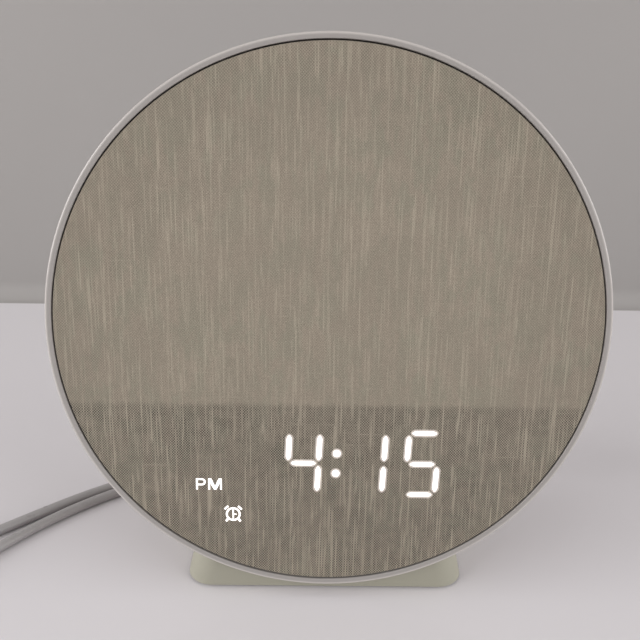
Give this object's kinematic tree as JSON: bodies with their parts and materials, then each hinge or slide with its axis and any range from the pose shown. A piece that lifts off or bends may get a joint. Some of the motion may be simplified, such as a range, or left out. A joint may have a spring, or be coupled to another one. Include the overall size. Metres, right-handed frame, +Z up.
{
  "type": "alarm clock",
  "caption": "Round table clock with a woven front, glowing digits behind the cloth and a sunrise light, leaning back in a saddle foot, with buttons, a loudspeaker and a plug-in power lead",
  "frame": {"origin": "on the table under the middle of the clock's width and depth, its lead and adapter left out", "axes": "+X to the right of someone facing the display, +Y away from them through the clock, +Z up"},
  "size_m": [0.2627, 0.1512, 0.193],
  "materials": {
    "white_plastic": "satin moulded white",
    "woven_cloth": "slubbed plain weave, warm grey",
    "black_plastic": "moulded black",
    "milky_plastic": "milky diffuser",
    "lit_lens": "lit light pipe",
    "dark_lens": "unlit light pipe",
    "circuit_board": "green solder mask",
    "lamp_chip": "lamp chips",
    "tray_plastic": "white reflector",
    "zinc_screw": "zinc plated",
    "pressed_steel": "blackened pressed steel",
    "paper_cone": "black paper",
    "ferrite": "dark ferrite",
    "foam_rubber": "closed-cell foam",
    "grille_mesh": "fine black cloth",
    "shield_can": "tinned can",
    "ribbon_cable": "flat flexible cable",
    "button_plastic": "satin moulded, a shade darker",
    "foot_plastic": "satin moulded pale olive grey",
    "sole_rubber": "non-slip sole",
    "plug_plastic": "fine textured pale grey",
    "lead_rubber": "dull pale grey sleeve",
    "pin_brass": "bare pins"
  },
  "bodies": {
    "clock_body": {"bezel_ring": "white_plastic", "fabric_cover": "woven_cloth", "front_carrier": "black_plastic", "light_diffuser": "milky_plastic", "display_mask": "black_plastic", "lit_segments": "lit_lens", "dark_segments": "dark_lens", "indicator_windows": "lit_lens", "display_board": "circuit_board", "light_board": "circuit_board", "light_leds": "lamp_chip", "reflector_tray": "tray_plastic", "tray_screws": "zinc_screw", "rear_housing": "white_plastic", "housing_screws": "zinc_screw", "speaker_basket": "pressed_steel", "speaker_cone": "paper_cone", "speaker_magnet": "ferrite", "speaker_gasket": "foam_rubber", "speaker_screws": "zinc_screw", "grille_cloth": "grille_mesh", "main_board": "circuit_board", "radio_module": "shield_can", "board_parts": "black_plastic", "board_screws": "zinc_screw", "display_ribbon": "ribbon_cable", "top_switch_board": "circuit_board", "top_switches": "black_plastic", "rear_switch_board": "circuit_board", "rear_switches": "black_plastic", "switch_board_screws": "zinc_screw", "foot_shell": "foot_plastic", "foot_base_plate": "foot_plastic", "base_plate_screws": "zinc_screw", "foot_mount_screws": "zinc_screw", "foot_pad": "sole_rubber", "ballast_plate": "pressed_steel", "dc_jack": "black_plastic"},
    "snooze_bar": {"snooze_bar": "button_plastic"},
    "light_button": {"light_button": "button_plastic"},
    "sound_button": {"sound_button": "button_plastic"},
    "volume_down_key": {"volume_down_key": "button_plastic"},
    "volume_up_key": {"volume_up_key": "button_plastic"},
    "alarm_key": {"alarm_key": "button_plastic"},
    "clock_key": {"clock_key": "button_plastic"},
    "lead_set": {"dc_plug": "plug_plastic", "plug_relief": "lead_rubber", "power_lead": "lead_rubber", "lead_coil": "lead_rubber", "coil_tie": "black_plastic", "adapter_lead": "lead_rubber", "adapter_relief": "lead_rubber", "power_adapter": "plug_plastic", "adapter_prongs": "pin_brass"}
  },
  "joints": [
    {"name": "snooze_bar_press", "type": "slide", "parent": "clock_body", "child": "snooze_bar", "axis": [0, -0.1736, -0.9848], "range_m": [0, 0.0006], "stiffness_N_per_m": 1500},
    {"name": "light_button_press", "type": "slide", "parent": "clock_body", "child": "light_button", "axis": [0, -0.1736, -0.9848], "range_m": [0, 0.0006], "stiffness_N_per_m": 1500},
    {"name": "sound_button_press", "type": "slide", "parent": "clock_body", "child": "sound_button", "axis": [0, -0.1736, -0.9848], "range_m": [0, 0.0006], "stiffness_N_per_m": 1500},
    {"name": "volume_down_key_press", "type": "slide", "parent": "clock_body", "child": "volume_down_key", "axis": [0, -0.9848, 0.1736], "range_m": [0, 0.0006], "stiffness_N_per_m": 1500},
    {"name": "volume_up_key_press", "type": "slide", "parent": "clock_body", "child": "volume_up_key", "axis": [0, -0.9848, 0.1736], "range_m": [0, 0.0006], "stiffness_N_per_m": 1500},
    {"name": "alarm_key_press", "type": "slide", "parent": "clock_body", "child": "alarm_key", "axis": [0, -0.9848, 0.1736], "range_m": [0, 0.0006], "stiffness_N_per_m": 1500},
    {"name": "clock_key_press", "type": "slide", "parent": "clock_body", "child": "clock_key", "axis": [0, -0.9848, 0.1736], "range_m": [0, 0.0006], "stiffness_N_per_m": 1500},
    {"name": "plug_pull", "type": "slide", "parent": "clock_body", "child": "lead_set", "axis": [0, 1, 0], "range_m": [0, 0.0115]}
  ]
}
